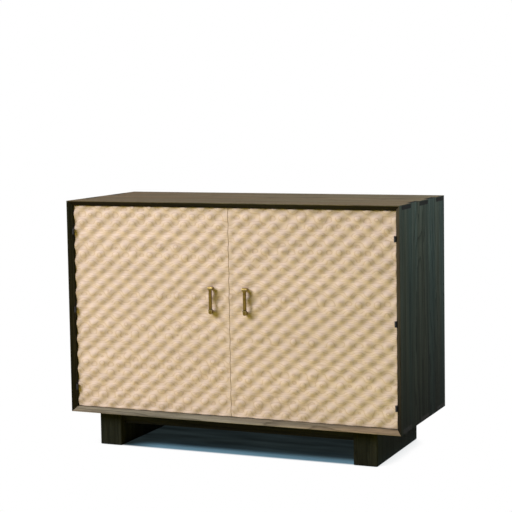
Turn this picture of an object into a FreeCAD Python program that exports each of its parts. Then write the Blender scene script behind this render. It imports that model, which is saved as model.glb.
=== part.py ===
import FreeCAD, Part

import math
import os

# A low tansu chest of paulownia boards: a dark, bevelled carcase on two
# block feet, closed by two pale doors that are carved in crossing waves.
# Millimetres. X runs to the right, Y to the back and Z up. The origin is on
# the floor, under the middle of the carcase.

V = FreeCAD.Vector

# Carcase
width = 1350.0
depth = 555.0
height = 955.0
carcase_board = 18.0
front_land = 2.0
corner_mitre = 25.0
finger_count = 5
back_board = 9.0
back_rebate = 9.0
partition_board = 18.0
shelf_board = 18.0
shelf_setback = 8.0
shelf_height_shares = (1 / 3, 2 / 3)
housing_depth = 6.0

# Feet and the rails between them
base_height = 130.0
foot_width = 92.0
foot_inset = 104.0
foot_setback = 39.5
foot_chamfer = 2.0
foot_tenon_width = 40.0
foot_tenon_height = 10.0
foot_tenon_inset = 58.0
foot_tenon_gap = 100.0
rail_height = 44.0
rail_board = 24.0
rail_setback = 25.0
rail_tenon_length = 20.0
rail_tenon_shoulder = 6.0

# Doors
door_thickness = 28.0
door_setback = 1.0
door_end_gap = 1.5
door_hinge_gap = 1.0
door_meeting_gap = 2.0
door_stop_gap = 0.5
door_board_height = 152.25
door_bottom_board_height = 81.0

# Carving: two sets of waves that cross, each folded along straight lines.
# Crests lie on the lowest seam, in the middle and at the doors' outer edges.
carving_depth = 9.0
carving_waves_per_door = 9
carving_waves_per_board = 2.5

# Hinges
hinge_top_inset = 102.0
hinge_bottom_inset = 78.0
hinge_axis_inset = 2.5
knuckle_radius = 4.5
knuckle_sides = 12
barrel_length = 22.0
knuckle_gap = 0.3
leaf_thickness = 1.5
leaf_length = 60.0
frame_leaf_width = 20.0
door_leaf_width = 14.0
hinge_pin_radius = 1.8
hinge_pin_clearance = 0.05

# Handles
handle_offset = 70.0
handle_setback = 0.5
handle_rise = 442.0
handle_post_spacing = 88.0
handle_barrel_radius = 7.0
handle_barrel_length = 20.0
handle_strap_width = 12.0
handle_strap_thickness = 5.0
handle_strap_chamfer = 1.0
handle_cover = 1.0
handle_boss_height = 18.0
handle_boss_back = 3.0
handle_boss_wall = 1.5
handle_collar_height = 4.0
handle_post_width = 9.0
handle_post_fit = 0.05
handle_screw_radius = 2.0
handle_screw_head_radius = 4.0
handle_screw_head_height = 2.5
handle_screw_depth = 9.0
screw_sides = 6

# Magnet catches
catch_width = 5.0
catch_height = 16.0
catch_drop = 60.0
magnet_depth = 10.0
strike_depth = 3.0

# Every cutting solid passes this far through what it cuts
overrun = 5.0

# Points closer together than this are one point
same_point = 0.0001

# Planes that several pieces share
front = -depth / 2
back = depth / 2
side_inner = width / 2 - carcase_board
floor_inner = base_height + carcase_board
ceiling_inner = height - carcase_board
inner_height = ceiling_inner - floor_inner
foot_middle = width / 2 - foot_inset - foot_width / 2
foot_front = front + foot_setback
foot_back = back - foot_setback
opening_front = front + carcase_board - front_land
back_face = back - back_board

door_front = opening_front + door_setback
door_back = door_front + door_thickness
door_low = floor_inner + door_end_gap
door_high = ceiling_inner - door_end_gap
door_inner_edge = door_meeting_gap / 2
door_outer_edge = side_inner - door_hinge_gap
carving_floor = door_front + carving_depth
first_seam = door_low + door_bottom_board_height
carving_pitch_x = door_outer_edge / carving_waves_per_door
carving_pitch_z = door_board_height / carving_waves_per_board
partition_front = door_back + door_stop_gap
partition_side = partition_board / 2
shelf_front = door_back + shelf_setback

hinge_axis_x = side_inner - hinge_axis_inset
hinge_axis_y = opening_front - knuckle_radius
lowest_hinge = floor_inner + hinge_bottom_inset
highest_hinge = ceiling_inner - hinge_top_inset
hinge_heights = {
    "lower": lowest_hinge,
    "middle": (lowest_hinge + highest_hinge) / 2,
    "upper": highest_hinge,
}

handle_front = front + handle_setback
strap_front = handle_front + handle_cover
strap_back = strap_front + handle_strap_thickness
strap_side = handle_strap_width / 2
handle_middle = floor_inner + handle_rise
handle_upper = handle_middle + handle_post_spacing / 2
handle_lower = handle_middle - handle_post_spacing / 2


def box(x0, x1, y0, y1, z0, z1):
    """A block between two corners."""
    return Part.makeBox(x1 - x0, y1 - y0, z1 - z0, V(x0, y0, z0))


def prism(points, vector):
    """A closed outline drawn out along a vector."""
    return Part.Face(Part.makePolygon(points + points[:1])).extrude(vector)


def round_bar(radius, start, end):
    """A round bar from one point to another."""
    return Part.makeCylinder(radius, (end - start).Length, start, end - start)


def faceted_bar(sides, radius, start, end):
    """A bar with flat sides from one point to another, along Y or Z."""
    aside = V(1, 0, 0)
    upward = (end - start).normalize().cross(aside)
    outline = []
    for i in range(sides):
        turn = 2 * math.pi * (i + 1 / 2) / sides
        reach = aside * math.cos(turn) + upward * math.sin(turn)
        outline.append(start + reach * radius)
    return prism(outline, end - start)


def mirrored(shape):
    """The same piece on the other side of the middle of the chest."""
    return shape.mirror(V(0, 0, 0), V(1, 0, 0))


def upside_down(shape):
    """The same piece at the other end of the carcase's height."""
    return shape.mirror(V(0, 0, (base_height + height) / 2), V(0, 0, 1))


def without(shape, waste):
    """A piece with every piece of waste cut away."""
    for piece in waste:
        shape = shape.cut(piece)
    return shape


# Carcase corners

def corner_fingers(first):
    """The room of every other finger in the upper right corner."""
    start = front + corner_mitre
    pitch = (back - start) / finger_count
    slots = []
    for i in range(first, finger_count, 2):
        last = i == finger_count - 1
        y0 = start + i * pitch
        y1 = back + overrun if last else y0 + pitch
        slots.append(
            box(side_inner, width / 2 + overrun, y0, y1, ceiling_inner, height + overrun)
        )
    return slots


def corner_mitre_waste(below):
    """The half of the upper right front corner below or above the mitre."""
    low = (side_inner - overrun, ceiling_inner - overrun)
    high = (width / 2 + overrun, height + overrun)
    third = (high[0], low[1]) if below else (low[0], high[1])
    outline = [V(x, front - overrun, z) for x, z in (low, high, third)]
    return prism(outline, V(0, overrun + corner_mitre, 0))


def bevelled_section(place, inner, outer):
    """A carcase board's section: its front edge slopes in from a narrow land."""
    return [
        place(front, outer),
        place(back, outer),
        place(back, inner),
        place(opening_front, inner),
        place(front, outer - front_land),
    ]


def back_recess():
    """The rebate for the back board, round the inside of the carcase."""
    side = side_inner + back_rebate
    return box(
        -side, side, back_face, back + overrun,
        floor_inner - back_rebate, ceiling_inner + back_rebate,
    )


def make_top_panel():
    """The top, before the partition's groove."""
    outline = bevelled_section(lambda y, z: V(-width / 2, y, z), ceiling_inner, height)
    waste = corner_fingers(1) + [corner_mitre_waste(below=True)]
    waste += [mirrored(piece) for piece in waste]
    return without(prism(outline, V(width, 0, 0)), waste).cut(back_recess())


def make_side_panel():
    """The right side, before the grooves for the shelves and the hinges."""
    outline = bevelled_section(lambda y, x: V(x, y, base_height), side_inner, width / 2)
    waste = corner_fingers(0) + [corner_mitre_waste(below=False)]
    waste += [upside_down(piece) for piece in waste]
    return without(prism(outline, V(0, 0, height - base_height)), waste).cut(back_recess())


# Inside the carcase

def make_partition():
    """The upright between the two halves, let into the top and the bottom."""
    return box(
        -partition_side, partition_side, partition_front, back_face,
        floor_inner - housing_depth, ceiling_inner + housing_depth,
    )


def make_shelf(share):
    """A shelf of the right half, let into the side and the partition."""
    middle = floor_inner + share * inner_height
    return box(
        partition_side - housing_depth, side_inner + housing_depth,
        shelf_front, back_face,
        middle - shelf_board / 2, middle + shelf_board / 2,
    )


# Feet and rails

def foot_tenons():
    """The two stub tenons of the right foot, up into the bottom."""
    x0 = foot_middle - foot_tenon_width / 2
    x1 = foot_middle + foot_tenon_width / 2
    z1 = base_height + foot_tenon_height
    half_gap = foot_tenon_gap / 2
    return [
        box(x0, x1, foot_front + foot_tenon_inset, -half_gap, base_height, z1),
        box(x0, x1, half_gap, foot_back - foot_tenon_inset, base_height, z1),
    ]


def make_foot():
    """The right foot: a block on edge, chamfered everywhere but on top."""
    x0 = foot_middle - foot_width / 2
    x1 = foot_middle + foot_width / 2
    block = box(x0, x1, foot_front, foot_back, 0, base_height)
    edges = [e for e in block.Edges if e.CenterOfMass.z < base_height]
    block = block.makeChamfer(foot_chamfer, edges)
    for tenon in foot_tenons():
        block = block.fuse(tenon)
    return block


def make_front_rail():
    """The front rail between the feet, with a tenon at each end."""
    end = foot_middle - foot_width / 2
    y0 = foot_front + rail_setback
    y1 = y0 + rail_board
    z0 = base_height - rail_height
    tip = end + rail_tenon_length
    inset = rail_tenon_shoulder
    rail = box(-end, end, y0, y1, z0, base_height)
    return rail.fuse(box(-tip, tip, y0 + inset, y1 - inset, z0 + inset, base_height - inset))


# Doors

def door_board_heights():
    """Where the boards of a door begin and end, from the bottom up."""
    count = max(1, round((door_high - first_seam) / door_board_height))
    seams = [first_seam + i * door_board_height for i in range(count)]
    return [door_low] + seams + [door_high]


def fold(turns):
    """A wave of straight folds: 1 on a crest and -1 in a hollow."""
    return 1 - 4 * abs(turns - round(turns))


def wave_turns(x, z):
    """How many waves of each set lie between the lowest seam's middle and a point."""
    across = x / carving_pitch_x
    up = (z - first_seam) / carving_pitch_z
    return across + up, across - up


def carved_y(x, z):
    """Where the carved face lies: at the door's front on a crest."""
    height_share = sum(fold(turns) for turns in wave_turns(x, z)) / 2
    return door_front + carving_depth * (1 - height_share) / 2


def clipped(outline, axis, limit, side):
    """The part of a flat outline on one side of a limit."""
    kept = []
    for i, end in enumerate(outline):
        start = outline[i - 1]
        before = side * (start[axis] - limit)
        after = side * (end[axis] - limit)
        if before * after < 0:
            share = before / (before - after)
            kept.append([a + share * (b - a) for a, b in zip(start, end)])
        if after >= 0:
            kept.append(end)
    return kept


def carving_facets(x0, x1, z0, z1):
    """The flat facets between the folds, inside a board's outline."""
    turns = [wave_turns(x, z) for x in (x0, x1) for z in (z0, z1)]
    ranges = []
    for wave in range(2):
        values = [2 * t[wave] for t in turns]
        ranges.append(range(math.floor(min(values)), math.ceil(max(values))))
    facets = []
    for i in ranges[0]:
        for j in ranges[1]:
            outline = []
            for a, b in ((i, j), (i + 1, j), (i + 1, j + 1), (i, j + 1)):
                outline.append([
                    carving_pitch_x * (a + b) / 4,
                    first_seam + carving_pitch_z * (a - b) / 4,
                ])
            for axis, limit, side in ((0, x0, 1), (0, x1, -1), (1, z0, 1), (1, z1, -1)):
                outline = clipped(outline, axis, limit, side)
            if outline:
                facets.append(outline)
    return facets


def flat_face(points):
    """A face through points in one plane, without repeated ones."""
    kept = []
    for point in points:
        if not kept or not point.isEqual(kept[-1], same_point):
            kept.append(point)
    while len(kept) > 1 and kept[0].isEqual(kept[-1], same_point):
        kept.pop()
    if len(kept) < 3:
        return None
    return Part.Face(Part.makePolygon(kept + kept[:1]))


def make_door_board(x0, x1, z0, z1):
    """One board of a door: carved in front, flat behind."""
    facets = carving_facets(x0, x1, z0, z1)
    faces = [flat_face([V(x, carved_y(x, z), z) for x, z in facet]) for facet in facets]
    corners = [point for facet in facets for point in facet]
    for axis, limit in ((0, x0), (0, x1), (1, z0), (1, z1)):
        along = 1 - axis
        edge = sorted(
            (p for p in corners if abs(p[axis] - limit) < same_point),
            key=lambda p: p[along],
        )
        front_line = [V(p[0], carved_y(p[0], p[1]), p[1]) for p in edge]
        back_line = [V(p.x, door_back, p.z) for p in (front_line[-1], front_line[0])]
        faces.append(flat_face(front_line + back_line))
    outline = ((x0, z0), (x1, z0), (x1, z1), (x0, z1))
    faces.append(flat_face([V(x, door_back, z) for x, z in outline]))
    return Part.Solid(Part.Shell([face for face in faces if face]))


# Hinges

def make_leaf(plate, neck, low, high):
    """A leaf: a plate, and a neck to its knuckle round the pin's bore."""
    foot = V(hinge_axis_x, hinge_axis_y, low)
    head = V(hinge_axis_x, hinge_axis_y, high)
    knuckle = faceted_bar(knuckle_sides, knuckle_radius, foot, head)
    bore = round_bar(hinge_pin_radius + hinge_pin_clearance, foot, head)
    return plate.fuse(neck).fuse(knuckle).cut(bore)


def make_frame_leaf(middle):
    """The leaf let into the side, with the lower knuckle."""
    x0 = side_inner
    x1 = side_inner + leaf_thickness
    end = opening_front + frame_leaf_width
    half = leaf_length / 2
    low = middle - barrel_length / 2
    high = middle - knuckle_gap / 2
    plate = box(x0, x1, opening_front, end, middle - half, middle + half)
    return make_leaf(plate, box(x0, x1, hinge_axis_y, end, low, high), low, high)


def make_door_leaf(middle):
    """The leaf let into the door's edge, with the upper knuckle."""
    x0 = door_outer_edge - leaf_thickness
    x1 = door_outer_edge
    end = carving_floor + door_leaf_width
    half = leaf_length / 2
    low = middle + knuckle_gap / 2
    high = middle + barrel_length / 2
    plate = box(x0, x1, carving_floor, end, middle - half, middle + half)
    return make_leaf(plate, box(x0, x1, hinge_axis_y, end, low, high), low, high)


def make_hinge_pin(middle):
    """The pin of a right-hand hinge, as long as its barrel."""
    low = V(hinge_axis_x, hinge_axis_y, middle - barrel_length / 2)
    return Part.makeCylinder(hinge_pin_radius, barrel_length, low)


# Handles

def make_handle_strap():
    """The right handle's flat strap, round at its lower end."""
    x0 = handle_offset - strap_side
    x1 = handle_offset + strap_side
    middle = handle_lower - handle_boss_height / 2 + handle_boss_wall + strap_side
    strap = box(x0, x1, strap_front, strap_back, middle, handle_upper)
    edges = [
        e for e in strap.Edges
        if e.Length > handle_strap_width and e.CenterOfMass.y < (strap_front + strap_back) / 2
    ]
    strap = strap.makeChamfer(handle_strap_chamfer, edges)
    end = round_bar(
        strap_side, V(handle_offset, strap_front, middle), V(handle_offset, strap_back, middle)
    )
    above = box(x0 - overrun, x1 + overrun, strap_front, strap_back, middle, handle_upper)
    return strap.fuse(end.cut(above))


def handle_post(start, middle, fit):
    """A square post from the handle into the door, or the hole that it fits."""
    half = handle_post_width / 2 + fit
    return box(
        handle_offset - half, handle_offset + half, start, carving_floor,
        middle - half, middle + half,
    )


def make_handle_screw(middle):
    """A screw from the back of the door into a handle's post."""
    top = V(handle_offset, door_back, middle)
    seat = V(handle_offset, door_back - handle_screw_head_height, middle)
    tip = V(handle_offset, carving_floor - handle_screw_depth, middle)
    head = faceted_bar(screw_sides, handle_screw_head_radius, top, seat)
    return head.fuse(faceted_bar(screw_sides, handle_screw_radius, seat, tip))


def make_upper_mount():
    """The round bar that holds the strap's upper end, on its post."""
    axis_y = handle_front + handle_barrel_radius
    half = handle_barrel_length / 2
    barrel = round_bar(
        handle_barrel_radius,
        V(handle_offset - half, axis_y, handle_upper),
        V(handle_offset + half, axis_y, handle_upper),
    )
    mount = barrel.fuse(handle_post(axis_y, handle_upper, 0))
    return without(mount, (make_handle_strap(), make_handle_screw(handle_upper)))


def make_lower_mount():
    """The shoe that holds the strap's lower end, with a collar, on its post."""
    side = strap_side + handle_boss_wall
    x0 = handle_offset - side
    x1 = handle_offset + side
    y1 = strap_back + handle_boss_back
    z0 = handle_lower - handle_boss_height / 2
    z1 = z0 + handle_boss_height
    collar = z1 - handle_collar_height
    round_end = round_bar(
        side, V(handle_offset, strap_front, z0 + side), V(handle_offset, y1, z0 + side)
    )
    mount = round_end.fuse(box(x0, x1, strap_front, y1, z0 + side, collar))
    mount = mount.fuse(box(x0, x1, handle_front, y1, collar, z1))
    mount = mount.fuse(handle_post(y1, handle_lower, 0))
    return without(mount, (make_handle_strap(), make_handle_screw(handle_lower)))


# Magnet catches

def catch_block(y0, y1):
    """A magnet, or the strike that it holds, on the right of the middle."""
    x = (door_inner_edge + partition_side) / 2
    z = ceiling_inner - catch_drop
    half_width = catch_width / 2
    half_height = catch_height / 2
    return box(x - half_width, x + half_width, y0, y1, z - half_height, z + half_height)


# The whole chest: right-hand pieces are made first and mirrored to the left
parts = {}


def add_pair(name, shape):
    """Keep a right-hand piece and its mirror image."""
    parts["right_" + name] = shape
    parts["left_" + name] = mirrored(shape)


def add_carcase():
    """The four outer boards, the back, the partition and the shelves."""
    partition = make_partition()
    shelves = {
        "lower": make_shelf(shelf_height_shares[0]),
        "upper": make_shelf(shelf_height_shares[1]),
    }
    magnet = catch_block(partition_front, partition_front + magnet_depth)
    top = make_top_panel()
    bottom = upside_down(top)
    tenons = foot_tenons()
    tenons += [mirrored(tenon) for tenon in tenons]
    side = without(make_side_panel(), shelves.values())
    for middle in hinge_heights.values():
        side = side.cut(make_frame_leaf(middle))
    add_pair("side_panel", side)
    parts["top_panel"] = top.cut(partition)
    parts["bottom_panel"] = without(bottom.cut(partition), tenons)
    parts["back_panel"] = back_recess().common(
        box(-width, width, back_face, back, 0, height)
    )
    for name, shelf in shelves.items():
        add_pair(name + "_shelf", shelf)
        partition = partition.cut(shelf).cut(mirrored(shelf))
    parts["centre_partition"] = partition.cut(magnet).cut(mirrored(magnet))
    add_pair("catch_magnet", magnet)


def add_base():
    """The two feet and the two rails between them."""
    front_rail = make_front_rail()
    rear_rail = front_rail.mirror(V(0, 0, 0), V(0, 1, 0))
    add_pair("foot", without(make_foot(), (front_rail, rear_rail)))
    parts["front_base_rail"] = front_rail
    parts["rear_base_rail"] = rear_rail


def add_hinges():
    """Six hinges, with their pins in one group."""
    pins = []
    for name, middle in hinge_heights.items():
        add_pair(name + "_frame_leaf", make_frame_leaf(middle))
        add_pair(name + "_door_leaf", make_door_leaf(middle))
        pins.append(make_hinge_pin(middle))
    pins += [mirrored(pin) for pin in pins]
    parts["hinge_pins"] = Part.makeCompound(pins)


def add_doors():
    """The boards of both doors, with the handles and the strikes."""
    heights = (handle_upper, handle_lower)
    screws = [make_handle_screw(middle) for middle in heights]
    strike = catch_block(door_back - strike_depth, door_back)
    waste = [handle_post(handle_front, middle, handle_post_fit) for middle in heights]
    waste += screws + [strike]
    waste += [make_door_leaf(middle) for middle in hinge_heights.values()]
    levels = door_board_heights()
    for i in range(len(levels) - 1):
        for side, ends in (
            ("right", (door_inner_edge, door_outer_edge)),
            ("left", (-door_outer_edge, -door_inner_edge)),
        ):
            board = make_door_board(ends[0], ends[1], levels[i], levels[i + 1])
            for piece in waste:
                if side == "left":
                    piece = mirrored(piece)
                if piece.BoundBox.intersect(board.BoundBox):
                    board = board.cut(piece)
            parts["%s_door_board_%d" % (side, i + 1)] = board
    add_pair("handle_strap", make_handle_strap())
    add_pair("handle_upper_mount", make_upper_mount())
    add_pair("handle_lower_mount", make_lower_mount())
    add_pair("handle_screws", Part.makeCompound(screws))
    add_pair("door_strike", strike)


add_carcase()
add_base()
add_hinges()
add_doors()

os.makedirs("parts", exist_ok=True)
for name, shape in parts.items():
    shape.exportStep("parts/%s.step" % name)
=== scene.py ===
import math
from collections import namedtuple

import bpy
import numpy as np
from mathutils import Matrix, Vector


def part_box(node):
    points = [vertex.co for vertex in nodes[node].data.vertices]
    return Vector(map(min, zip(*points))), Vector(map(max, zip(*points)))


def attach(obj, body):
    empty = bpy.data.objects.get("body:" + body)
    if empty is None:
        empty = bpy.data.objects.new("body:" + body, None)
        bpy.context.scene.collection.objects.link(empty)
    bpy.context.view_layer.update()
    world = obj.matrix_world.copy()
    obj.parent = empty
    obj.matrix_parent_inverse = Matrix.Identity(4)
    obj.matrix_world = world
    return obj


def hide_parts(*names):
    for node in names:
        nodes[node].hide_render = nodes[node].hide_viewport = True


# A low tansu chest: a dark stained carcase, and pale doors that are carved in
# crossing waves. Metres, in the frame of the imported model.

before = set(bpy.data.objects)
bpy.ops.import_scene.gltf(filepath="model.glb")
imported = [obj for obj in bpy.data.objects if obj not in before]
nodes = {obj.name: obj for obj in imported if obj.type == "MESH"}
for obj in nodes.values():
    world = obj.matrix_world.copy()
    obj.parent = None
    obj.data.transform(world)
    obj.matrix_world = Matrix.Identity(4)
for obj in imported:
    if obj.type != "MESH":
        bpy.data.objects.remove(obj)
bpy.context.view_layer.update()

X_AXIS, Y_AXIS, Z_AXIS = range(3)
WHITE = (1, 1, 1, 1)
BLACK = (0, 0, 0, 1)

# Sizes of the doors, from the frame
LOWEST_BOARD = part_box("right_door_board_1")
NEXT_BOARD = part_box("right_door_board_2")
MIDDLE_TO_EDGE = LOWEST_BOARD[1].x
LOWEST_SEAM = LOWEST_BOARD[1].z
BOARD_HEIGHT = NEXT_BOARD[1].z - NEXT_BOARD[0].z
BOARDS_IN_DOOR = 6

# Carving, in the same lattice of waves as in the solids but smooth
WAVES_ON_DOOR = 9
WAVES_ON_BOARD = 2.5
CARVING_PITCH_X = MIDDLE_TO_EDGE / WAVES_ON_DOOR
CARVING_PITCH_Z = BOARD_HEIGHT / WAVES_ON_BOARD
CARVING_DEPTH = 0.0098
CARVING_STEP = 0.003

# Second waves of the rows and the columns: the share that makes crests narrower,
# and the share that leans them
CARVING_ROWS = (0.070, 0.080)
CARVING_COLUMNS = (0.045, 0.050)

# The hand's wander, its slow waves in radians a metre along x and z, and the
# share of the second wave. WANDER_FADE stills the wander along x at the doors'
# outer edges.
CARVING_WANDER = 0.0013
WANDER_ALONG_X = ((9, 23), (53, -31))
WANDER_ALONG_Z = ((17, -11), (29, 61))
WANDER_SECOND = 0.8
WANDER_FADE = 2.395
CARVING_UNEVEN = 0.10
UNEVEN_WAVES = ((37, 19), (23, -47))

# Where the waves get flatter: how far from an edge, and by what share
EDGE_EASE = 0.012
EDGE_FLATTER = 0.35
GAP_EASE = 0.018
GAP_FLATTER = 0.55

# Rounded edges of a board: at the door's edge, at a seam and at the middle gap
EDGE_ROUND = 0.0022
SEAM_ROUND = 0.0008
GAP_ROUND = 0.0004

# The steps across a rounded edge, the degrees from which an edge looks sharp,
# the most that two edges differ by that are one, the most that the gap's edges
# lie from the middle, and how far the fittings stand proud of the boards
ROUND_STEPS = (0, 0.1, 0.4)
SHARP_ANGLE = 50
SAME_EDGE = 0.001
GAP_REACH = 0.002
FITTINGS_PROUD = 0.00015

# Camera, from the chest's corners in the photograph: its place in metres, its
# turns in degrees, its focus and centre in pixels, its sensor in millimetres
IMAGE_SIZE = 512
CAMERA_PLACE = (2.310, -5.295, 1.346)
CAMERA_YAW = 22.59
CAMERA_PITCH = 4.92
CAMERA_ROLL = -0.85
CAMERA_FOCUS = 1498
CAMERA_CENTRE = (281, 225)
CAMERA_FAR = 100
SENSOR_WIDTH = 36


def srgb(red, green, blue):
    """A colour written as it shows on a screen, from 0 to 255."""
    linear = []
    for value in (red, green, blue):
        share = value / 255
        low = share <= 0.04045
        linear.append(share / 12.92 if low else ((share + 0.055) / 1.055) ** 2.4)
    return (*linear, 1)


def new_object(name, data):
    """An object in the scene for a mesh, a lamp or a camera."""
    made = bpy.data.objects.new(name, data)
    bpy.context.collection.objects.link(made)
    return made


def new_mesh_object(name, points, faces):
    """An object in the scene, from its points and faces."""
    mesh = bpy.data.meshes.new(name)
    mesh.from_pydata(points, [], faces)
    return new_object(name, mesh)


def dress(obj, material):
    """Give every slot of an object one material."""
    if not obj.data.materials:
        obj.data.materials.append(material)
    for i in range(len(obj.data.materials)):
        obj.data.materials[i] = material


# Shader nodes

# What counts as low and as high in noise, for shades, for patches and for pores
SHADE_RANGE = (0.3, 0.7)
PATCH_RANGE = (0.35, 0.65)
PORE_RANGE = (0.60, 0.72)


class Graph:
    """The node tree of a material or a world, with short ways to add to it."""

    def __init__(self, owner):
        owner.use_nodes = True
        self.tree = owner.node_tree

    def add(self, kind, inputs=(), **settings):
        node = self.tree.nodes.new(kind)
        for key, value in settings.items():
            setattr(node, key, value)
        for key, value in dict(inputs).items():
            self.put(node.inputs[key], value)
        return node

    def put(self, socket, value):
        if isinstance(value, bpy.types.NodeSocket):
            self.tree.links.new(value, socket)
        else:
            socket.default_value = value

    def math(self, operation, first, second=0.0):
        return self.add("ShaderNodeMath", {0: first, 1: second}, operation=operation).outputs[0]

    def vector(self, operation, first, second=(0, 0, 0)):
        node = self.add("ShaderNodeVectorMath", {0: first, 1: second}, operation=operation)
        return node.outputs["Value" if operation == "LENGTH" else "Vector"]

    def parts(self, vector):
        return self.add("ShaderNodeSeparateXYZ", {0: vector}).outputs

    def mix(self, share, first, second, blend="MIX"):
        node = self.add("ShaderNodeMix", data_type="RGBA", blend_type=blend)
        self.put(node.inputs[0], share)
        self.put(node.inputs[6], first)
        self.put(node.inputs[7], second)
        return node.outputs[2]

    def noise(self, place, scale, detail=2.0, rough=0.5):
        inputs = {"Vector": place, "Scale": scale, "Detail": detail, "Roughness": rough}
        return self.add("ShaderNodeTexNoise", inputs).outputs["Fac"]

    def stretch(self, value, low, high, to_low=0.0, to_high=1.0):
        inputs = {0: value, 1: low, 2: high, 3: to_low, 4: to_high}
        return self.add("ShaderNodeMapRange", inputs).outputs[0]

    def scaled(self, colour, share):
        """A colour times a share."""
        grey = self.add("ShaderNodeCombineColor", {0: share, 1: share, 2: share}).outputs[0]
        return self.mix(1.0, colour, grey, "MULTIPLY")

    def bump(self, height, strength, distance, normal=None):
        node = self.add("ShaderNodeBump", {"Strength": strength, "Distance": distance})
        self.put(node.inputs["Height"], height)
        if normal is not None:
            self.put(node.inputs["Normal"], normal)
        return node.outputs["Normal"]

    def looked_at(self):
        """1 for rays from the camera, off gloss or through glass, and 0 for others."""
        path = self.add("ShaderNodeLightPath").outputs
        seen = self.math("MAXIMUM", path["Is Camera Ray"], path["Is Glossy Ray"])
        return self.math("MAXIMUM", seen, path["Is Transmission Ray"])

    def either(self, share, first, second):
        """The first shader where the share is 0, and the second where it is 1."""
        return self.add("ShaderNodeMixShader", {0: share, 1: first, 2: second}).outputs[0]


# Wood

# The space between rings, how strongly the rings, bands, fibres and pores show,
# the lowest and the highest roughness, the strength of the grain's relief, the
# radius of its rounded edges, and its specular level
Wood = namedtuple("Wood", "ring rings bands fibres pores smooth rough relief edges specular")

STAINED_WOOD = Wood(
    ring=0.011, rings=0.90, bands=0.36, fibres=0.30, pores=0.55,
    smooth=0.50, rough=0.66, relief=0.35, edges=0.0008, specular=0.02,
)
STAINED_UPRIGHT_WOOD = STAINED_WOOD._replace(specular=0.005)
INNER_WOOD = Wood(
    ring=0.009, rings=0.6, bands=0.06, fibres=0.05, pores=0.25,
    smooth=0.55, rough=0.7, relief=0.25, edges=0.0006, specular=0.1,
)
CARVED_WOOD = Wood(
    ring=0.0056, rings=0.52, bands=0.08, fibres=0.05, pores=0.20,
    smooth=0.55, rough=0.72, relief=0.2, edges=0, specular=0.1,
)

# Noise in the wood: its scale along and across the grain, detail and roughness
Noise = namedtuple("Noise", "along across detail rough")
DRIFT = Noise(1.1, 5, 2, 0.5)
RIPPLE = Noise(4, 26, 3, 0.6)
FIBRE = Noise(9, 420, 3, 0.65)
BAND = Noise(1.6, 34, 3, 0.55)
PORE = Noise(38, 900, 2, 0.5)
PATCH = Noise(0.9, 17, 2, 0.5)

# How many rings' widths the drift and the ripple bend the rings by, and where in
# a ring the late wood starts and is darkest
RING_DRIFT = 9
RING_RIPPLE = 1.4
LATE_START = 0.45
LATE_DARKEST = 0.93
LATE_POWER = 2.2

# End grain: where it starts and is whole, by how far a face's normal lies along
# the grain, the scale, detail and roughness of its speckles, how dark they are,
# and how much of the grain it covers
END_RANGE = (0.8, 0.95)
END_SPECKLES = (700, 2, 0.6)
END_DARKER = 0.6
END_COVER = 0.96

# Relief of the grain, in shares of its depth
FIBRE_HEIGHT = 0.6
LATE_HEIGHT = -0.5
PORE_DEPTH = 0.7
RELIEF_DEPTH = 0.0004
EDGE_SAMPLES = 4

# Where a face starts to look forward and does so wholly, by its normal, and the
# steps that keep the noise of one piece apart from the next one's
FRONT_RANGE = (0.3, 0.6)
SEED_STEPS = (1.37, 0.71, 2.13)


def grain_noise(graph, place, along, noise):
    """Noise that is drawn out along the grain."""
    scales = tuple(noise.along if axis == along else noise.across for axis in range(3))
    return graph.noise(graph.vector("MULTIPLY", place, scales), 1, noise.detail, noise.rough)


def late_wood(graph, place, shifted, along, pith, ring):
    """How much a place is late wood, by its distance from the pith line."""
    across = tuple(0 if axis == along else 1 for axis in range(3))
    from_pith = graph.vector("SUBTRACT", graph.vector("MULTIPLY", place, across), pith)
    radius = graph.vector("LENGTH", from_pith)
    for noise, rings in ((DRIFT, RING_DRIFT), (RIPPLE, RING_RIPPLE)):
        bend = graph.math("MULTIPLY", grain_noise(graph, shifted, along, noise), ring * rings)
        radius = graph.math("ADD", radius, bend)
    turns = graph.math("FRACT", graph.math("DIVIDE", radius, ring))
    late = graph.math("POWER", graph.stretch(turns, LATE_START, LATE_DARKEST), LATE_POWER)
    return graph.math("MULTIPLY", late, graph.stretch(turns, LATE_DARKEST, 1.0, 1.0, 0.0))


def with_end_grain(graph, colour, place, normal_along, end_tone):
    """The colour with end grain, which has speckles and a tone of its own.

    normal_along is how far a face's normal lies along the grain.
    """
    end = graph.stretch(graph.math("ABSOLUTE", normal_along), *END_RANGE)
    speckles = graph.stretch(graph.noise(place, *END_SPECKLES), *SHADE_RANGE)
    darker = (*(END_DARKER * part for part in end_tone[:3]), 1)
    end_colour = graph.mix(speckles, end_tone, darker)
    return graph.mix(graph.math("MULTIPLY", end, END_COVER), colour, end_colour)


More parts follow.
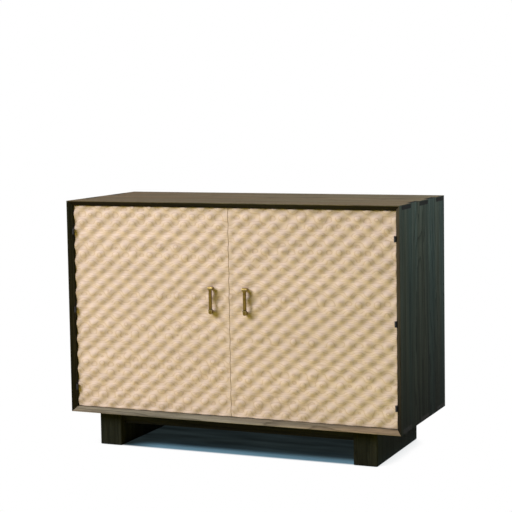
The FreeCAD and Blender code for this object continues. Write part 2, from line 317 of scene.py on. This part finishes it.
def wood(name, kind, seed, along, pith, tones, end_tone, tints=None, fade=None, front=None):
    """Wood whose grain runs along one axis, with rings round a pith line.

    tones are the colours of the early wood, the late wood and the pores. Broad
    patches are multiplied with the two tints. fade is painted shade, two heights
    and a share: the colour rises from that share of it at the first to all of it
    at the second. Faces that look forward are multiplied with front, painted light.
    """
    material = bpy.data.materials.new(name)
    graph = Graph(material)
    coordinates = graph.add("ShaderNodeTexCoord").outputs
    place = coordinates["Object"]
    facing = graph.parts(coordinates["Normal"])
    shifted = graph.vector("ADD", place, tuple(seed * step for step in SEED_STEPS))
    late = late_wood(graph, place, shifted, along, pith, kind.ring)
    fibre = grain_noise(graph, shifted, along, FIBRE)
    pores = graph.stretch(grain_noise(graph, shifted, along, PORE), *PORE_RANGE)

    colour = graph.mix(graph.math("MULTIPLY", late, kind.rings), tones[0], tones[1])
    if tints:
        patch = graph.stretch(grain_noise(graph, shifted, along, PATCH), *PATCH_RANGE)
        colour = graph.mix(1.0, colour, graph.mix(patch, *tints), "MULTIPLY")
    band = grain_noise(graph, shifted, along, BAND)
    band_shade = graph.stretch(band, *SHADE_RANGE, 1 - kind.bands, 1 + kind.bands)
    fibre_shade = graph.stretch(fibre, *SHADE_RANGE, 1 - kind.fibres, 1 + kind.fibres)
    colour = graph.scaled(colour, graph.math("MULTIPLY", band_shade, fibre_shade))
    colour = graph.mix(graph.math("MULTIPLY", pores, kind.pores), colour, tones[2])
    colour = with_end_grain(graph, colour, place, facing[along], end_tone)
    # Painted shade: darker toward the floor, by height
    if fade:
        low, high, share = fade
        whole = graph.stretch(graph.parts(place)[Z_AXIS], low, high, share, 1.0)
        colour = graph.scaled(colour, whole)
    # Painted light on the faces that look forward
    if front:
        ahead = graph.stretch(graph.math("MULTIPLY", facing[Y_AXIS], -1.0), *FRONT_RANGE)
        colour = graph.mix(ahead, colour, graph.mix(1.0, colour, front, "MULTIPLY"))

    height = graph.math("MULTIPLY", fibre, FIBRE_HEIGHT)
    height = graph.math("ADD", height, graph.math("MULTIPLY", late, LATE_HEIGHT))
    height = graph.math("SUBTRACT", height, graph.math("MULTIPLY", pores, PORE_DEPTH))
    normal = None
    if kind.edges:
        normal = graph.add("ShaderNodeBevel", {"Radius": kind.edges}, samples=EDGE_SAMPLES).outputs[0]
    shader = graph.tree.nodes["Principled BSDF"].inputs
    graph.put(shader["Base Color"], colour)
    graph.put(shader["Roughness"], graph.stretch(fibre, *SHADE_RANGE, kind.smooth, kind.rough))
    graph.put(shader["Specular IOR Level"], kind.specular)
    graph.put(shader["Normal"], graph.bump(height, kind.relief, RELIEF_DEPTH, normal))
    return material


# Carcase

# The early wood, late wood and pores of each stain and of the plain wood, the
# tints of the stains' patches, and the end grain of the stained parts
STAIN_TOP = (srgb(105, 87, 61), srgb(68, 54, 36), srgb(42, 34, 26))
STAIN_BASE = (srgb(131, 119, 103), srgb(92, 83, 70), srgb(52, 47, 39))
STAIN_SIDE = (srgb(67, 67, 59), srgb(46, 47, 41), srgb(27, 28, 25))
STAIN_FOOT = (srgb(38, 40, 34), srgb(26, 28, 23), srgb(16, 17, 14))
STAIN_RAIL = (srgb(39, 42, 47), srgb(29, 31, 34), srgb(18, 18, 17))
STAIN_TINTS = ((1.08, 0.98, 0.90, 1), (0.90, 1.0, 1.06, 1))
TOP_END = srgb(48, 49, 42)
LOWER_END = srgb(13, 14, 12)
PLAIN = (srgb(214, 190, 156), srgb(184, 156, 120), srgb(150, 122, 90))

# Each part's grain, a point on its pith line and, where it has one, its stain
STAINED_PARTS = {
    "top_panel": (X_AXIS, (0, 0.11, 0.62), STAIN_TOP),
    "bottom_panel": (X_AXIS, (0, -0.07, -0.21), STAIN_BASE),
    "left_side_panel": (Z_AXIS, (-0.40, 0.08, 0), STAIN_SIDE),
    "right_side_panel": (Z_AXIS, (0.40, -0.02, 0), STAIN_SIDE),
    "front_base_rail": (X_AXIS, (0, -0.10, 0.02), STAIN_RAIL),
    "rear_base_rail": (X_AXIS, (0, 0.10, 0.02), STAIN_RAIL),
    "left_foot": (Z_AXIS, (-0.55, 0.05, 0), STAIN_FOOT),
    "right_foot": (Z_AXIS, (0.55, 0.05, 0), STAIN_FOOT),
}
INNER_PARTS = {
    "back_panel": (X_AXIS, (0, 0.6, 0.5)),
    "centre_partition": (Z_AXIS, (0.3, 0.1, 0)),
}
for half in ("left", "right"):
    for level in ("lower", "upper"):
        INNER_PARTS["%s_%s_shelf" % (half, level)] = (X_AXIS, (0, 0.1, 0.1))
FIRST_STAINED_SEED = 1
FIRST_INNER_SEED = 20

# Painted shade: the side panels darker toward the floor, and the top panel
# darker below its upper face, on its front edge
TOP_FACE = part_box("top_panel")[1].z
PAINTED_SHADE = {
    "top_panel": (TOP_FACE - 0.0035, TOP_FACE - 0.0025, 0.18),
    "left_side_panel": (0.15, 1.6, 0.45),
    "right_side_panel": (0.15, 0.95, 0.3),
}

# Painted light: what the faces that look forward are multiplied with, to paint
# the top panel's front edge lighter and bluer and the right side panel's front
# edge warmer
PAINTED_FRONT_LIGHT = {
    "top_panel": (0.92, 1.12, 1.5, 1),
    "right_side_panel": (1.08, 0.94, 0.88, 1),
}


def dress_carcase():
    """Stained wood for the carcase, its feet and its rails."""
    for seed, (node, (along, pith, stain)) in enumerate(STAINED_PARTS.items(), FIRST_STAINED_SEED):
        kind = STAINED_WOOD if along == X_AXIS else STAINED_UPRIGHT_WOOD
        end_tone = TOP_END if node == "top_panel" else LOWER_END
        material = wood(
            node + "_wood", kind, seed, along, pith, stain, end_tone,
            tints=STAIN_TINTS, fade=PAINTED_SHADE.get(node), front=PAINTED_FRONT_LIGHT.get(node),
        )
        dress(nodes[node], material)


def dress_inside():
    """Plain wood for the back, the partition and the shelves."""
    for seed, (node, (along, pith)) in enumerate(INNER_PARTS.items(), FIRST_INNER_SEED):
        material = wood(node + "_wood", INNER_WOOD, seed, along, pith, PLAIN, PLAIN[1])
        dress(nodes[node], material)


# Carved doors

PALE = (srgb(215, 195, 184), srgb(172, 145, 112), srgb(160, 136, 104))
PALE_END = srgb(236, 220, 202)

# The seeds of the boards, and how far behind its face a board's pith lies and
# how much it sways from board to board
DOOR_SEEDS = {"left": 50, "right": 90}
BOARD_SEED_STEP = 3
PITH_BEHIND = 0.10
PITH_SWAY_Y = 0.05
PITH_SWAY_Z = PITH_SWAY_Y / 3
PITH_TURN = 1.7


def slow_waves(x, z, waves):
    """A sine wave over the doors for each pair of radians a metre."""
    return [np.sin(along_x * x + along_z * z) for along_x, along_z in waves]


def wander(x, z, waves):
    """How far the carver's hand strays at a place."""
    first, second = slow_waves(x, z, waves)
    return CARVING_WANDER * (first + WANDER_SECOND * second)


def carved_y(x, z, front, edges):
    """Where the carved face lies, at the front on a crest.

    Small second waves make the crests narrower and lean them, the rows wander
    and vary a little by hand, and the waves get flatter at the door's edges.
    """
    strayed_x = x + wander(x, z, WANDER_ALONG_X) * np.cos(WANDER_FADE * x)
    strayed_z = z + wander(x, z, WANDER_ALONG_Z)
    turn_x = 2 * math.pi * strayed_x / CARVING_PITCH_X
    turn_z = 2 * math.pi * (strayed_z - LOWEST_SEAM) / CARVING_PITCH_Z
    first, second = slow_waves(x, z, UNEVEN_WAVES)
    uneven = 1 - CARVING_UNEVEN * (0.5 + 0.5 * first * second)
    height = np.cos(turn_x) * np.cos(turn_z) * uneven
    for turn, (narrow, lean) in ((turn_z, CARVING_ROWS), (turn_x, CARVING_COLUMNS)):
        height = height + narrow * (np.cos(2 * turn) - 1) + lean * (np.sin(2 * turn) - lean)
    for place, edge in ((abs(x), MIDDLE_TO_EDGE), (z, edges[2]), (z, edges[3])):
        height = height * (1 - EDGE_FLATTER * np.exp(-((place - edge) / EDGE_EASE) ** 2))
    height = height * (1 - GAP_FLATTER * np.exp(-(x / GAP_EASE) ** 2))
    return front + CARVING_DEPTH * (1 - height) / 2


def steps_between(low, high, round_low, round_high):
    """Even steps, with narrow steps at both ends for the rounded edges."""
    count = round((high - low) / CARVING_STEP)
    start = [low + share * round_low for share in ROUND_STEPS]
    middle = np.linspace(low + round_low, high - round_high, count)
    end = [high - share * round_high for share in reversed(ROUND_STEPS)]
    return np.concatenate((start, middle, end))


def rounded(distance, radius):
    """How far a rounded edge falls back at a distance from the edge."""
    share = np.clip(1 - distance / radius, 0, 1)
    return radius * (1 - np.sqrt(1 - share ** 2))


def edge_round(own_edge, door_edge):
    """The radius of a board's edge, which may be the door's edge too."""
    if abs(own_edge - door_edge) > SAME_EDGE:
        return SEAM_ROUND
    return EDGE_ROUND if abs(door_edge) > GAP_REACH else GAP_ROUND


def grid_faces(rows, columns):
    """The faces of a grid of points."""
    faces = []
    for i in range(rows - 1):
        for j in range(columns - 1):
            corner = i * columns + j
            faces.append((corner, corner + 1, corner + columns + 1, corner + columns))
    return faces


def grid_rim(rows, columns):
    """The points round the rim of a grid, in order."""
    rim = list(range(columns))
    rim += [i * columns + columns - 1 for i in range(1, rows)]
    rim += [(rows - 1) * columns + j for j in range(columns - 2, -1, -1)]
    rim += [i * columns for i in range(rows - 2, 0, -1)]
    return rim


def carved_board(name, low, high, edges):
    """A door board: carved in front and flat behind, with rounded edges.

    edges are the door's left, right, lower and upper edges.
    """
    left, right, lower, upper = map(edge_round, (low.x, high.x, low.z, high.z), edges)
    xs = steps_between(low.x, high.x, left, right)
    zs = steps_between(low.z, high.z, lower, upper)
    grid_x, grid_z = np.meshgrid(xs, zs)
    grid_y = carved_y(grid_x, grid_z, low.y, edges)
    grid_y += rounded(grid_x - low.x, left) + rounded(high.x - grid_x, right)
    grid_y += rounded(grid_z - low.z, lower) + rounded(high.z - grid_z, upper)
    points = np.stack([grid_x, grid_y, grid_z], axis=-1).reshape(-1, 3).tolist()
    faces = grid_faces(*grid_x.shape)
    rim = grid_rim(*grid_x.shape)
    behind = len(points)
    for index in rim:
        points.append([points[index][0], high.y, points[index][2]])
    for i in range(len(rim)):
        j = (i + 1) % len(rim)
        faces.append((rim[j], rim[i], behind + i, behind + j))
    faces.append(tuple(behind + i for i in reversed(range(len(rim)))))
    board = new_mesh_object(name, points, faces)
    board.data.validate()
    board.data.shade_smooth()
    board.data.set_sharp_from_angle(angle=math.radians(SHARP_ANGLE))
    return board


def board_wood(node, seed, low, high):
    """Pale wood for one board, with a pith line of its own."""
    turn = math.sin(seed * PITH_TURN)
    middle = (low.z + high.z) / 2
    pith = (0, low.y + PITH_BEHIND + PITH_SWAY_Y * turn, middle + PITH_SWAY_Z * turn)
    return wood(node + "_wood", CARVED_WOOD, seed, X_AXIS, pith, PALE, PALE_END)


def make_doors():
    """The carved boards of both doors, each over its solid."""
    for side in ("left", "right"):
        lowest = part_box(side + "_door_board_1")[0]
        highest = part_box("%s_door_board_%d" % (side, BOARDS_IN_DOOR))[1]
        # So that the hinge leaves, screw heads and strikes show
        if side == "left":
            lowest.x += FITTINGS_PROUD
        else:
            highest.x -= FITTINGS_PROUD
        edges = (lowest.x, highest.x, lowest.z, highest.z)
        for i in range(1, BOARDS_IN_DOOR + 1):
            node = "%s_door_board_%d" % (side, i)
            low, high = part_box(node)
            low.x, high.x = lowest.x, highest.x
            high.y -= FITTINGS_PROUD
            board = carved_board(node + "_carved", low, high, edges)
            seed = i * BOARD_SEED_STEP + DOOR_SEEDS[side]
            dress(board, board_wood(node, seed, low, high))
            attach(board, side + "_door")
            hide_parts(node)


# Metal

# Worn patches, by their noise's scale, detail and roughness, and fine scratches,
# by their noise's scale along each axis, strength and depth
WORN_PATCHES = (90, 4, 0.6)
SCRATCHES = (1800, 1800, 160)
SCRATCH_STRENGTH = 0.12
SCRATCH_DEPTH = 0.0002

# Each metal's tone and worn tone
BRASS_TONES = (srgb(150, 130, 82), srgb(98, 82, 40))
# The strap's brass: a darker copy of the mounts' brass, painted darker as shade
SHADED_STRAP_TONES = (srgb(118, 96, 42), srgb(80, 63, 22))
BLACK_TONES = (srgb(14, 13, 13), srgb(28, 26, 25))
STEEL_TONES = (srgb(176, 176, 172), srgb(140, 138, 134))
SCREW_TONES = (srgb(96, 94, 90), srgb(60, 58, 55))

# A painted shade ring in the crease where a strap leaves its lower mount: its
# height, reach and tone
STRAP_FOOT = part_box("right_handle_lower_mount")[1].z
STRAP_PAINTED_SHADE = (STRAP_FOOT - 0.0005, 0.003, srgb(44, 36, 12))
PAINTED_RING_SOFTNESS = 1.5


def metal(name, tones, rough, worn, metallic=1.0, band=None):
    """Metal with fine scratches, with patches of a worn tone, and with a ring of
    painted shade where band is given.

    rough is the roughness outside the patches and in them, and worn is how
    strongly their tone shows.
    """
    material = bpy.data.materials.new(name)
    graph = Graph(material)
    place = graph.add("ShaderNodeTexCoord").outputs["Object"]
    patch = graph.stretch(graph.noise(place, *WORN_PATCHES), *PATCH_RANGE)
    scratches = graph.noise(graph.vector("MULTIPLY", place, SCRATCHES), 1)
    colour = graph.mix(graph.math("MULTIPLY", patch, worn), *tones)
    # A painted shade ring round one height
    if band:
        level, reach, dark = band
        away = graph.math("ABSOLUTE", graph.math("SUBTRACT", graph.parts(place)[Z_AXIS], level))
        near = graph.stretch(away, reach, reach * PAINTED_RING_SOFTNESS, 1.0, 0.0)
        colour = graph.mix(near, colour, dark)
    shader = graph.tree.nodes["Principled BSDF"].inputs
    graph.put(shader["Base Color"], colour)
    graph.put(shader["Metallic"], metallic)
    graph.put(shader["Roughness"], graph.stretch(patch, 0, 1, *rough))
    graph.put(shader["Normal"], graph.bump(scratches, SCRATCH_STRENGTH, SCRATCH_DEPTH))
    return material


def dress_metal():
    """Materials for the handles, the hinges and the small fittings."""
    brass = metal("aged_brass", BRASS_TONES, rough=(0.34, 0.5), worn=0.8)
    # The strap gets the copy of the brass that is painted darker as shade
    dull = metal("dull_brass", SHADED_STRAP_TONES, rough=(0.4, 0.55), worn=0.8, band=STRAP_PAINTED_SHADE)
    black = metal("black_iron", BLACK_TONES, rough=(0.5, 0.68), worn=0.6, metallic=0.3)
    steel = metal("plain_steel", STEEL_TONES, rough=(0.28, 0.42), worn=0.6)
    for node, obj in nodes.items():
        if "leaf" in node:
            dress(obj, black)
        elif "pins" in node or "screws" in node or "magnet" in node or "strike" in node:
            dress(obj, steel)
        elif "strap" in node:
            dress(obj, dull)
        elif "handle" in node:
            dress(obj, brass)


# Screw heads on the hinge leaves

# A head's radius, the share of it that its top has, its rise and its slot, how
# far it is from the leaf's middle, and the points round half its rim
SCREW_RADIUS = 0.0030
SCREW_TOP = 0.8
SCREW_RISE = 0.0003
SCREW_SLOT = 0.0006
SCREW_REACH = 0.020
SCREW_POINTS = 9

# A leaf on the right: the x of its bare face, the way that it faces, and how far
# its screws are from its rear edge
LEAF_FACES = {
    "door": (MIDDLE_TO_EDGE, 1, 0.007),
    "frame": (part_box("right_side_panel")[0].x, -1, 0.009),
}


def half_head(x, facing, y, z, side, points, faces):
    """One half of a slotted screw head, on one side of its slot."""
    first = len(points)
    for radius, rise in ((SCREW_RADIUS, 0), (SCREW_RADIUS * SCREW_TOP, SCREW_RISE)):
        spread = math.acos(SCREW_SLOT / 2 / radius)
        for i in range(SCREW_POINTS):
            angle = spread * (2 * i / (SCREW_POINTS - 1) - 1)
            across = side * radius * math.cos(angle)
            along = side * radius * math.sin(angle)
            points.append((x + facing * rise, y + along, z + across))
    lower = list(range(first, first + SCREW_POINTS))
    upper = list(range(first + SCREW_POINTS, first + 2 * SCREW_POINTS))
    loops = [lower[::-1], upper, (lower[0], upper[0], upper[-1], lower[-1])]
    for i in range(SCREW_POINTS - 1):
        loops.append((lower[i], lower[i + 1], upper[i + 1], upper[i]))
    for loop in loops:
        faces.append(tuple(loop) if facing < 0 else tuple(reversed(loop)))


def leaf_screws(side, level, leaf):
    """Two slotted screw heads on one hinge leaf."""
    mirror = -1 if side == "left" else 1
    x, facing, from_rear = LEAF_FACES[leaf]
    low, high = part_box("%s_%s_%s_leaf" % (side, level, leaf))
    points, faces = [], []
    for reach in (-SCREW_REACH, SCREW_REACH):
        z = (low.z + high.z) / 2 + reach
        for half in (-1, 1):
            half_head(mirror * x, mirror * facing, high.y - from_rear, z, half, points, faces)
    return new_mesh_object("%s_%s_%s_leaf_screws" % (side, level, leaf), points, faces)


def make_leaf_screws():
    """The screw heads of all twelve hinge leaves."""
    steel = metal("screw_steel", SCREW_TONES, rough=(0.3, 0.45), worn=0.7)
    for side in ("left", "right"):
        for level in ("lower", "middle", "upper"):
            for leaf in LEAF_FACES:
                heads = leaf_screws(side, level, leaf)
                dress(heads, steel)
                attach(heads, side + "_door" if leaf == "door" else "carcase")


# Camera

def make_camera():
    """The camera at the photograph's viewing angle."""
    yaw = math.radians(CAMERA_YAW)
    pitch = math.radians(CAMERA_PITCH)
    roll = math.radians(CAMERA_ROLL)
    ahead = Vector((
        -math.sin(yaw) * math.cos(pitch), math.cos(yaw) * math.cos(pitch), -math.sin(pitch)
    ))
    right = Vector((math.cos(yaw), math.sin(yaw), 0))
    above = right.cross(ahead)
    turned_right = right * math.cos(roll) + above * math.sin(roll)
    turned_above = above * math.cos(roll) - right * math.sin(roll)
    data = bpy.data.cameras.new("camera")
    data.sensor_fit = "HORIZONTAL"
    data.sensor_width = SENSOR_WIDTH
    data.lens = CAMERA_FOCUS * SENSOR_WIDTH / IMAGE_SIZE
    data.shift_x = (IMAGE_SIZE / 2 - CAMERA_CENTRE[0]) / IMAGE_SIZE
    data.shift_y = (CAMERA_CENTRE[1] - IMAGE_SIZE / 2) / IMAGE_SIZE
    data.clip_end = CAMERA_FAR
    camera = new_object("camera", data)
    turn = Matrix((turned_right, turned_above, -ahead)).transposed().to_4x4()
    camera.matrix_world = Matrix.Translation(CAMERA_PLACE) @ turn
    bpy.context.scene.camera = camera


# World and lamps

ROOM_TONE = (0.03, 0.03, 0.018, 1)

# Each lamp's place, the place that it shines at, its watts, colour and size
LAMPS = {
    "key": ((-4.52, -4.91, 4.98), (0, 0, 0.56), 752, (1, 0.985, 1), 4.0),
    "side": ((2.1, 0.6, 1.9), (0.675, 0, 0.7), 46, (0.55, 0.82, 1), 0.8),
}


def make_world():
    """A dim room, which shows as white to the camera and in gloss."""
    world = bpy.data.worlds.new("room")
    bpy.context.scene.world = world
    graph = Graph(world)
    graph.tree.nodes.clear()
    dim = graph.add("ShaderNodeBackground", {"Color": ROOM_TONE}).outputs[0]
    white = graph.add("ShaderNodeBackground", {"Color": WHITE}).outputs[0]
    surface = graph.either(graph.looked_at(), dim, white)
    graph.add("ShaderNodeOutputWorld", {"Surface": surface})


def make_lamps():
    """Soft square lamps: a large one on the left, and a small one on the right."""
    for name, (place, toward, power, colour, size) in LAMPS.items():
        data = bpy.data.lights.new(name, "AREA")
        data.energy = power
        data.color = colour
        data.size = size
        lamp = new_object(name, data)
        lamp.location = place
        lamp.rotation_mode = "QUATERNION"
        lamp.rotation_quaternion = (Vector(place) - Vector(toward)).to_track_quat("Z", "Y")


# Floor

FLOOR_REACH = 30

# The shade close to the chest: how far off it is looked for, the shares of open
# sky between which it fades, and its tone
SHADE_DISTANCE = 0.15
SHADE_SAMPLES = 16
SHADE_FADE = (0.2, 0.5)
SHADE_TONE = (0.5, 0.53, 0.55, 1)

# The patch of painted shade on the floor under the chest, which starts a little
# inside the feet's outer sides: how far from the middle it reaches, and over
# what distance it ends
OUTER_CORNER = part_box("right_foot")[1]
PAINTED_PATCH_X = (OUTER_CORNER.x - 0.010, 0.010)
PAINTED_PATCH_Y = (OUTER_CORNER.y - 0.016, 0.020)

# Painted light and shade on it: the lamp-lit stripe at its front is kept while
# the floor deeper in is painted darker, by the distance from the middle line,
# and the left foot's shadow is painted in along x
PAINTED_STRIPE_TONE = (0.16, 0.31, 0.42, 1)
PAINTED_LIGHT_BY_DISTANCE = (0.14, 0.185, 0.15, 1.0)
PAINTED_LIGHT_BY_X = (-0.44, -0.34, 0.25, 1.0)

# A faint painted glow that lifts its shade, with streaks: the scales, then the
# noise, then the strength
PAINTED_GLOW_TONE = (0.011, 0.016, 0.017, 1)
GLOW_SCALES = (2.5, 16, 1)
GLOW_NOISE = (1, 3, 0.6)
GLOW_STRENGTH = (0.55, 1.5)

# The colours that the floor throws on the chest, in front of it and behind it
FRONT_BOUNCE = (0.70, 0.60, 0.09, 1)
REAR_BOUNCE = (0.64, 0.60, 0.50, 1)
BOUNCE_CHANGE = (-0.28, 0.1)


def open_floor(graph):
    """The floor that shows round the chest: white, with shade close to it."""
    reach = {"Distance": SHADE_DISTANCE}
    sky = graph.add("ShaderNodeAmbientOcclusion", reach, samples=SHADE_SAMPLES).outputs["AO"]
    tone = graph.mix(graph.stretch(sky, *SHADE_FADE), SHADE_TONE, WHITE)
    return graph.add("ShaderNodeEmission", {"Color": tone, "Strength": 1.0}).outputs[0]


def painted_floor_below(graph, spot, x, y):
    """The floor under the chest: dark blue painted shade, lamp-lit at its front, painted darker
    deeper in and at the left, with a faint painted glow.
    """
    # Painted shade: darker away from the front edge and toward the left foot
    painted_light = graph.stretch(graph.math("ABSOLUTE", y), *PAINTED_LIGHT_BY_DISTANCE)
    painted_light = graph.math("MULTIPLY", painted_light, graph.stretch(x, *PAINTED_LIGHT_BY_X))
    tone = graph.mix(painted_light, BLACK, PAINTED_STRIPE_TONE)
    shaded = graph.add("ShaderNodeBsdfDiffuse", {"Color": tone}).outputs[0]
    # A faint painted glow that lifts the shade
    streaks = graph.noise(graph.vector("MULTIPLY", spot, GLOW_SCALES), *GLOW_NOISE)
    strength = graph.stretch(streaks, *PATCH_RANGE, *GLOW_STRENGTH)
    painted_glow = graph.add("ShaderNodeEmission", {"Color": PAINTED_GLOW_TONE, "Strength": strength}).outputs[0]
    return graph.add("ShaderNodeAddShader", {0: shaded, 1: painted_glow}).outputs[0]


def painted_shade_patch(graph, x, y):
    """1 where the shade under the chest is painted, and 0 round it."""
    share = 1.0
    for place, (reach, soft) in ((x, PAINTED_PATCH_X), (y, PAINTED_PATCH_Y)):
        distance = graph.math("ABSOLUTE", place)
        within = graph.stretch(distance, reach, reach + soft, 1.0, 0.0)
        share = graph.math("MULTIPLY", share, within)
    return share


def floor_material():
    """What shows of the floor, and the plain floor that throws light on the chest."""
    material = bpy.data.materials.new("floor")
    graph = Graph(material)
    graph.tree.nodes.remove(graph.tree.nodes["Principled BSDF"])
    spot = graph.add("ShaderNodeTexCoord").outputs["Object"]
    x, y, _ = graph.parts(spot)
    # Under the chest the floor shows painted shade; round it, white with shade close to the chest
    shown = graph.either(painted_shade_patch(graph, x, y), open_floor(graph), painted_floor_below(graph, spot, x, y))
    tone = graph.mix(graph.stretch(y, *BOUNCE_CHANGE), FRONT_BOUNCE, REAR_BOUNCE)
    plain = graph.add("ShaderNodeBsdfDiffuse", {"Color": tone}).outputs[0]
    surface = graph.either(graph.looked_at(), plain, shown)
    graph.put(graph.tree.nodes["Material Output"].inputs["Surface"], surface)
    return material


def make_floor():
    """A pale floor, white to the camera but for the painted shade under the chest."""
    reach = FLOOR_REACH
    corners = [(-reach, -reach, 0), (reach, -reach, 0), (reach, reach, 0), (-reach, reach, 0)]
    floor = new_mesh_object("floor", corners, [(0, 1, 2, 3)])
    dress(floor, floor_material())


dress_carcase()
dress_inside()
make_doors()
dress_metal()
make_leaf_screws()
make_camera()
make_world()
make_floor()
make_lamps()

bpy.context.scene.view_settings.view_transform = "Standard"
